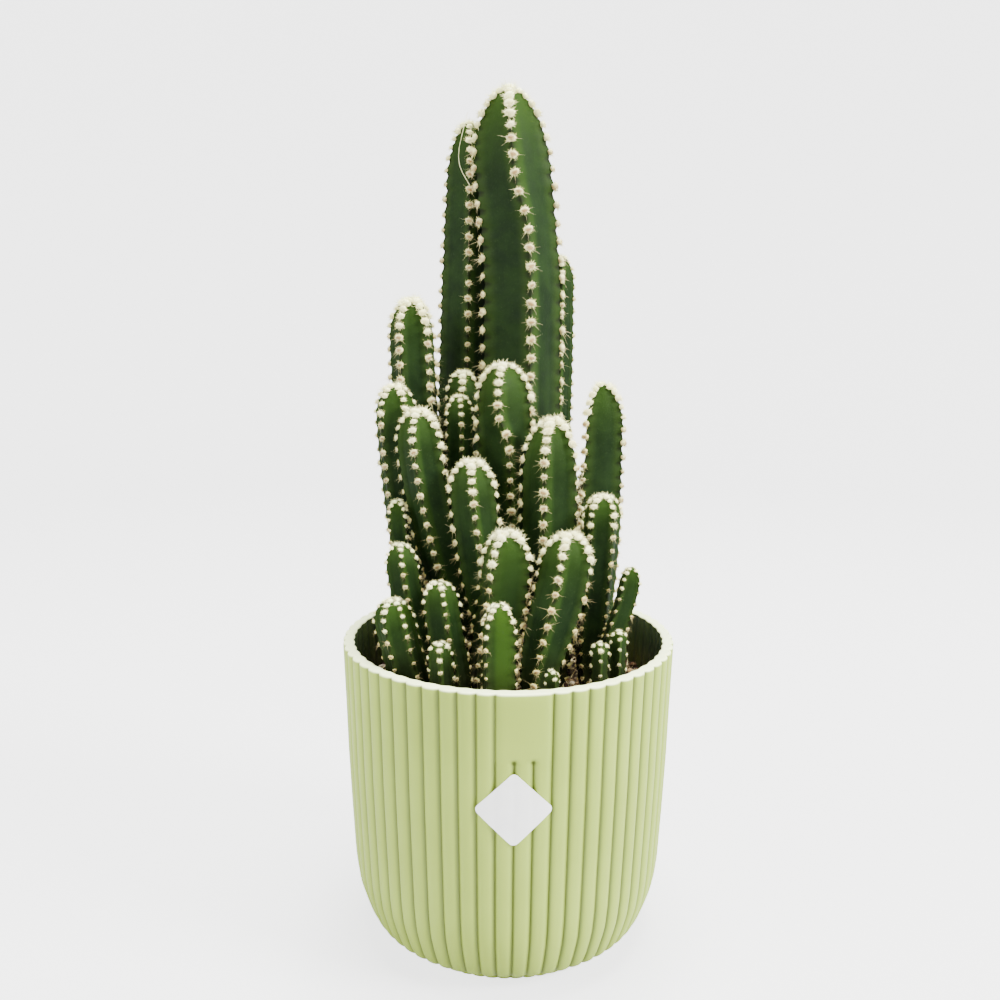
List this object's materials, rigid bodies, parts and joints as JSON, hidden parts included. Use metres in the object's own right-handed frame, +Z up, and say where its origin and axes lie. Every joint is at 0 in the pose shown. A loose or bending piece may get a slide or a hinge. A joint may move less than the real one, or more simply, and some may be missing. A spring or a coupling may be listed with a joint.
{
  "type": "potted florida cereus cactus",
  "caption": "Clump of upright ribbed cactus stems with woolly spines, standing in soil in a round, pale green, vertically ribbed plastic pot.",
  "frame": {"origin": "middle of the pot's underside, on the surface that it rests on", "axes": "+Z up, -Y toward the front of the pot, where the smooth panel and the sticker are, +X to the right"},
  "size_m": [0.11, 0.11, 0.2835],
  "materials": {
    "pot_plastic": "satin pale green plastic",
    "soil_mix": "matte, crumbly peat and bark",
    "label_paper": "satin white sticker",
    "stem_skin": "satin, faintly waxy green skin"
  },
  "bodies": {
    "root": {"pot": "pot_plastic", "soil": "soil_mix", "label": "label_paper", "sprout_front": "stem_skin", "sprout_left": "stem_skin", "sprout_right": "stem_skin", "sprout_right_outer": "stem_skin", "sprout_right_rear": "stem_skin", "stem_front_leaning": "stem_skin", "stem_front_low": "stem_skin", "stem_front_lowest": "stem_skin", "stem_front_middle": "stem_skin", "stem_front_right": "stem_skin", "stem_inner_left": "stem_skin", "stem_inner_right": "stem_skin", "stem_inner_slim": "stem_skin", "stem_left_edge": "stem_skin", "stem_left_leaning": "stem_skin", "stem_left_low": "stem_skin", "stem_left_outer": "stem_skin", "stem_left_rear": "stem_skin", "stem_left_slim": "stem_skin", "stem_middle": "stem_skin", "stem_rear_edge": "stem_skin", "stem_rear_left": "stem_skin", "stem_rear_low": "stem_skin", "stem_rear_middle": "stem_skin", "stem_rear_outer": "stem_skin", "stem_rear_right": "stem_skin", "stem_right_front": "stem_skin", "stem_right_middle": "stem_skin", "stem_right_slim": "stem_skin", "stem_tall_left": "stem_skin", "stem_tall_slim": "stem_skin", "stem_tallest": "stem_skin", "stem_three_ribbed": "stem_skin"}
  },
  "joints": []
}
